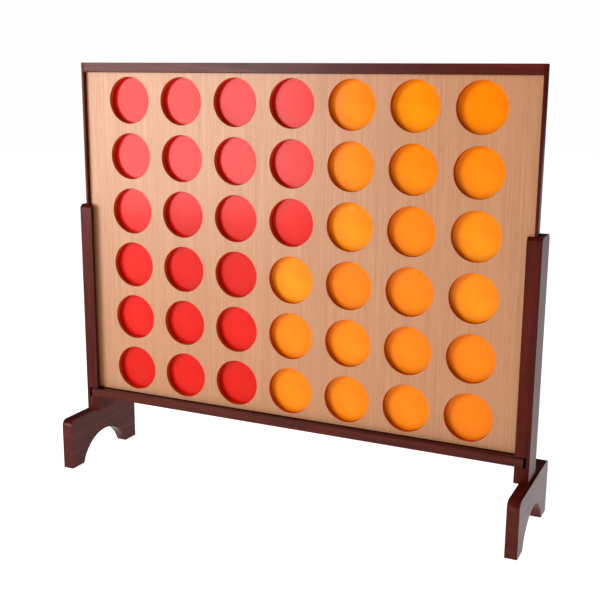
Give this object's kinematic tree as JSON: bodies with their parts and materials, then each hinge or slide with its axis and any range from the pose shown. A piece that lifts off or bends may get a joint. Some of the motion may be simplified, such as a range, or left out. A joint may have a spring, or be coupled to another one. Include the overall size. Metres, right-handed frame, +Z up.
{
  "type": "giant four in a row",
  "caption": "Standing lawn game: a holed double board on two arched feet, with drop-in discs stacked in its columns on a release bar along the bottom.",
  "frame": {"origin": "on the ground under the middle of the object", "axes": "+Z up, +X to the players' right along the board, front faces -Y"},
  "size_m": [1.211, 0.29, 1.049],
  "materials": {
    "panel_veneer": "satin, light beech veneer with a fine upright grain",
    "slot_lining": "satin, plain light wood between the panels",
    "dark_wood": "gloss mahogany stain",
    "red_plastic": "gloss moulded plastic",
    "orange_plastic": "gloss moulded plastic",
    "screw_steel": "zinc plated",
    "insert_brass": "satin"
  },
  "bodies": {
    "board": {"front_panel": "panel_veneer", "back_panel": "panel_veneer", "left_stile": "dark_wood", "right_stile": "dark_wood", "column_dividers": "slot_lining", "front_top_rail": "dark_wood", "back_top_rail": "dark_wood", "front_edge_strips": "dark_wood", "back_panel_screws": "screw_steel"},
    "release_bar": {"release_bar": "dark_wood"},
    "left_leg": {"left_post": "dark_wood", "left_foot": "dark_wood", "left_leg_bolts": "screw_steel", "left_leg_inserts": "insert_brass"},
    "right_leg": {"right_post": "dark_wood", "right_foot": "dark_wood", "right_leg_bolts": "screw_steel", "right_leg_inserts": "insert_brass"},
    "red_disc_c1_r6": {"red_disc_c1_r6": "red_plastic"},
    "red_disc_c2_r6": {"red_disc_c2_r6": "red_plastic"},
    "red_disc_c3_r6": {"red_disc_c3_r6": "red_plastic"},
    "red_disc_c4_r6": {"red_disc_c4_r6": "red_plastic"},
    "orange_disc_c5_r6": {"orange_disc_c5_r6": "orange_plastic"},
    "orange_disc_c6_r6": {"orange_disc_c6_r6": "orange_plastic"},
    "orange_disc_c7_r6": {"orange_disc_c7_r6": "orange_plastic"},
    "red_disc_c1_r5": {"red_disc_c1_r5": "red_plastic"},
    "red_disc_c2_r5": {"red_disc_c2_r5": "red_plastic"},
    "red_disc_c3_r5": {"red_disc_c3_r5": "red_plastic"},
    "red_disc_c4_r5": {"red_disc_c4_r5": "red_plastic"},
    "orange_disc_c5_r5": {"orange_disc_c5_r5": "orange_plastic"},
    "orange_disc_c6_r5": {"orange_disc_c6_r5": "orange_plastic"},
    "orange_disc_c7_r5": {"orange_disc_c7_r5": "orange_plastic"},
    "red_disc_c1_r4": {"red_disc_c1_r4": "red_plastic"},
    "red_disc_c2_r4": {"red_disc_c2_r4": "red_plastic"},
    "red_disc_c3_r4": {"red_disc_c3_r4": "red_plastic"},
    "red_disc_c4_r4": {"red_disc_c4_r4": "red_plastic"},
    "orange_disc_c5_r4": {"orange_disc_c5_r4": "orange_plastic"},
    "orange_disc_c6_r4": {"orange_disc_c6_r4": "orange_plastic"},
    "orange_disc_c7_r4": {"orange_disc_c7_r4": "orange_plastic"},
    "red_disc_c1_r3": {"red_disc_c1_r3": "red_plastic"},
    "red_disc_c2_r3": {"red_disc_c2_r3": "red_plastic"},
    "red_disc_c3_r3": {"red_disc_c3_r3": "red_plastic"},
    "orange_disc_c4_r3": {"orange_disc_c4_r3": "orange_plastic"},
    "orange_disc_c5_r3": {"orange_disc_c5_r3": "orange_plastic"},
    "orange_disc_c6_r3": {"orange_disc_c6_r3": "orange_plastic"},
    "orange_disc_c7_r3": {"orange_disc_c7_r3": "orange_plastic"},
    "red_disc_c1_r2": {"red_disc_c1_r2": "red_plastic"},
    "red_disc_c2_r2": {"red_disc_c2_r2": "red_plastic"},
    "red_disc_c3_r2": {"red_disc_c3_r2": "red_plastic"},
    "orange_disc_c4_r2": {"orange_disc_c4_r2": "orange_plastic"},
    "orange_disc_c5_r2": {"orange_disc_c5_r2": "orange_plastic"},
    "orange_disc_c6_r2": {"orange_disc_c6_r2": "orange_plastic"},
    "orange_disc_c7_r2": {"orange_disc_c7_r2": "orange_plastic"},
    "red_disc_c1_r1": {"red_disc_c1_r1": "red_plastic"},
    "red_disc_c2_r1": {"red_disc_c2_r1": "red_plastic"},
    "red_disc_c3_r1": {"red_disc_c3_r1": "red_plastic"},
    "orange_disc_c4_r1": {"orange_disc_c4_r1": "orange_plastic"},
    "orange_disc_c5_r1": {"orange_disc_c5_r1": "orange_plastic"},
    "orange_disc_c6_r1": {"orange_disc_c6_r1": "orange_plastic"},
    "orange_disc_c7_r1": {"orange_disc_c7_r1": "orange_plastic"}
  },
  "joints": [
    {"name": "left_leg_slide", "type": "slide", "parent": "board", "child": "left_leg", "axis": [-1, 0, 0], "range_m": [0, 0.06]},
    {"name": "right_leg_slide", "type": "slide", "parent": "board", "child": "right_leg", "axis": [1, 0, 0], "range_m": [0, 0.06]},
    {"name": "release_bar_slide", "type": "slide", "parent": "board", "child": "release_bar", "axis": [0, -1, 0], "range_m": [0, 0.06]},
    {"name": "disc_c1_r6_lift", "type": "slide", "parent": "red_disc_c1_r5", "child": "red_disc_c1_r6", "axis": [0, 0, 1], "range_m": [0, 0.191]},
    {"name": "disc_c2_r6_lift", "type": "slide", "parent": "red_disc_c2_r5", "child": "red_disc_c2_r6", "axis": [0, 0, 1], "range_m": [0, 0.191]},
    {"name": "disc_c3_r6_lift", "type": "slide", "parent": "red_disc_c3_r5", "child": "red_disc_c3_r6", "axis": [0, 0, 1], "range_m": [0, 0.191]},
    {"name": "disc_c4_r6_lift", "type": "slide", "parent": "red_disc_c4_r5", "child": "red_disc_c4_r6", "axis": [0, 0, 1], "range_m": [0, 0.191]},
    {"name": "disc_c5_r6_lift", "type": "slide", "parent": "orange_disc_c5_r5", "child": "orange_disc_c5_r6", "axis": [0, 0, 1], "range_m": [0, 0.191]},
    {"name": "disc_c6_r6_lift", "type": "slide", "parent": "orange_disc_c6_r5", "child": "orange_disc_c6_r6", "axis": [0, 0, 1], "range_m": [0, 0.191]},
    {"name": "disc_c7_r6_lift", "type": "slide", "parent": "orange_disc_c7_r5", "child": "orange_disc_c7_r6", "axis": [0, 0, 1], "range_m": [0, 0.191]},
    {"name": "disc_c1_r5_lift", "type": "slide", "parent": "red_disc_c1_r4", "child": "red_disc_c1_r5", "axis": [0, 0, 1], "range_m": [0, 0.33]},
    {"name": "disc_c2_r5_lift", "type": "slide", "parent": "red_disc_c2_r4", "child": "red_disc_c2_r5", "axis": [0, 0, 1], "range_m": [0, 0.33]},
    {"name": "disc_c3_r5_lift", "type": "slide", "parent": "red_disc_c3_r4", "child": "red_disc_c3_r5", "axis": [0, 0, 1], "range_m": [0, 0.33]},
    {"name": "disc_c4_r5_lift", "type": "slide", "parent": "red_disc_c4_r4", "child": "red_disc_c4_r5", "axis": [0, 0, 1], "range_m": [0, 0.33]},
    {"name": "disc_c5_r5_lift", "type": "slide", "parent": "orange_disc_c5_r4", "child": "orange_disc_c5_r5", "axis": [0, 0, 1], "range_m": [0, 0.33]},
    {"name": "disc_c6_r5_lift", "type": "slide", "parent": "orange_disc_c6_r4", "child": "orange_disc_c6_r5", "axis": [0, 0, 1], "range_m": [0, 0.33]},
    {"name": "disc_c7_r5_lift", "type": "slide", "parent": "orange_disc_c7_r4", "child": "orange_disc_c7_r5", "axis": [0, 0, 1], "range_m": [0, 0.33]},
    {"name": "disc_c1_r4_lift", "type": "slide", "parent": "red_disc_c1_r3", "child": "red_disc_c1_r4", "axis": [0, 0, 1], "range_m": [0, 0.469]},
    {"name": "disc_c2_r4_lift", "type": "slide", "parent": "red_disc_c2_r3", "child": "red_disc_c2_r4", "axis": [0, 0, 1], "range_m": [0, 0.469]},
    {"name": "disc_c3_r4_lift", "type": "slide", "parent": "red_disc_c3_r3", "child": "red_disc_c3_r4", "axis": [0, 0, 1], "range_m": [0, 0.469]},
    {"name": "disc_c4_r4_lift", "type": "slide", "parent": "orange_disc_c4_r3", "child": "red_disc_c4_r4", "axis": [0, 0, 1], "range_m": [0, 0.469]},
    {"name": "disc_c5_r4_lift", "type": "slide", "parent": "orange_disc_c5_r3", "child": "orange_disc_c5_r4", "axis": [0, 0, 1], "range_m": [0, 0.469]},
    {"name": "disc_c6_r4_lift", "type": "slide", "parent": "orange_disc_c6_r3", "child": "orange_disc_c6_r4", "axis": [0, 0, 1], "range_m": [0, 0.469]},
    {"name": "disc_c7_r4_lift", "type": "slide", "parent": "orange_disc_c7_r3", "child": "orange_disc_c7_r4", "axis": [0, 0, 1], "range_m": [0, 0.469]},
    {"name": "disc_c1_r3_lift", "type": "slide", "parent": "red_disc_c1_r2", "child": "red_disc_c1_r3", "axis": [0, 0, 1], "range_m": [0, 0.608]},
    {"name": "disc_c2_r3_lift", "type": "slide", "parent": "red_disc_c2_r2", "child": "red_disc_c2_r3", "axis": [0, 0, 1], "range_m": [0, 0.608]},
    {"name": "disc_c3_r3_lift", "type": "slide", "parent": "red_disc_c3_r2", "child": "red_disc_c3_r3", "axis": [0, 0, 1], "range_m": [0, 0.608]},
    {"name": "disc_c4_r3_lift", "type": "slide", "parent": "orange_disc_c4_r2", "child": "orange_disc_c4_r3", "axis": [0, 0, 1], "range_m": [0, 0.608]},
    {"name": "disc_c5_r3_lift", "type": "slide", "parent": "orange_disc_c5_r2", "child": "orange_disc_c5_r3", "axis": [0, 0, 1], "range_m": [0, 0.608]},
    {"name": "disc_c6_r3_lift", "type": "slide", "parent": "orange_disc_c6_r2", "child": "orange_disc_c6_r3", "axis": [0, 0, 1], "range_m": [0, 0.608]},
    {"name": "disc_c7_r3_lift", "type": "slide", "parent": "orange_disc_c7_r2", "child": "orange_disc_c7_r3", "axis": [0, 0, 1], "range_m": [0, 0.608]},
    {"name": "disc_c1_r2_lift", "type": "slide", "parent": "red_disc_c1_r1", "child": "red_disc_c1_r2", "axis": [0, 0, 1], "range_m": [0, 0.747]},
    {"name": "disc_c2_r2_lift", "type": "slide", "parent": "red_disc_c2_r1", "child": "red_disc_c2_r2", "axis": [0, 0, 1], "range_m": [0, 0.747]},
    {"name": "disc_c3_r2_lift", "type": "slide", "parent": "red_disc_c3_r1", "child": "red_disc_c3_r2", "axis": [0, 0, 1], "range_m": [0, 0.747]},
    {"name": "disc_c4_r2_lift", "type": "slide", "parent": "orange_disc_c4_r1", "child": "orange_disc_c4_r2", "axis": [0, 0, 1], "range_m": [0, 0.747]},
    {"name": "disc_c5_r2_lift", "type": "slide", "parent": "orange_disc_c5_r1", "child": "orange_disc_c5_r2", "axis": [0, 0, 1], "range_m": [0, 0.747]},
    {"name": "disc_c6_r2_lift", "type": "slide", "parent": "orange_disc_c6_r1", "child": "orange_disc_c6_r2", "axis": [0, 0, 1], "range_m": [0, 0.747]},
    {"name": "disc_c7_r2_lift", "type": "slide", "parent": "orange_disc_c7_r1", "child": "orange_disc_c7_r2", "axis": [0, 0, 1], "range_m": [0, 0.747]},
    {"name": "disc_c1_r1_lift", "type": "slide", "parent": "board", "child": "red_disc_c1_r1", "axis": [0, 0, 1], "range_m": [0, 0.886]},
    {"name": "disc_c2_r1_lift", "type": "slide", "parent": "board", "child": "red_disc_c2_r1", "axis": [0, 0, 1], "range_m": [0, 0.886]},
    {"name": "disc_c3_r1_lift", "type": "slide", "parent": "board", "child": "red_disc_c3_r1", "axis": [0, 0, 1], "range_m": [0, 0.886]},
    {"name": "disc_c4_r1_lift", "type": "slide", "parent": "board", "child": "orange_disc_c4_r1", "axis": [0, 0, 1], "range_m": [0, 0.886]},
    {"name": "disc_c5_r1_lift", "type": "slide", "parent": "board", "child": "orange_disc_c5_r1", "axis": [0, 0, 1], "range_m": [0, 0.886]},
    {"name": "disc_c6_r1_lift", "type": "slide", "parent": "board", "child": "orange_disc_c6_r1", "axis": [0, 0, 1], "range_m": [0, 0.886]},
    {"name": "disc_c7_r1_lift", "type": "slide", "parent": "board", "child": "orange_disc_c7_r1", "axis": [0, 0, 1], "range_m": [0, 0.886]}
  ]
}
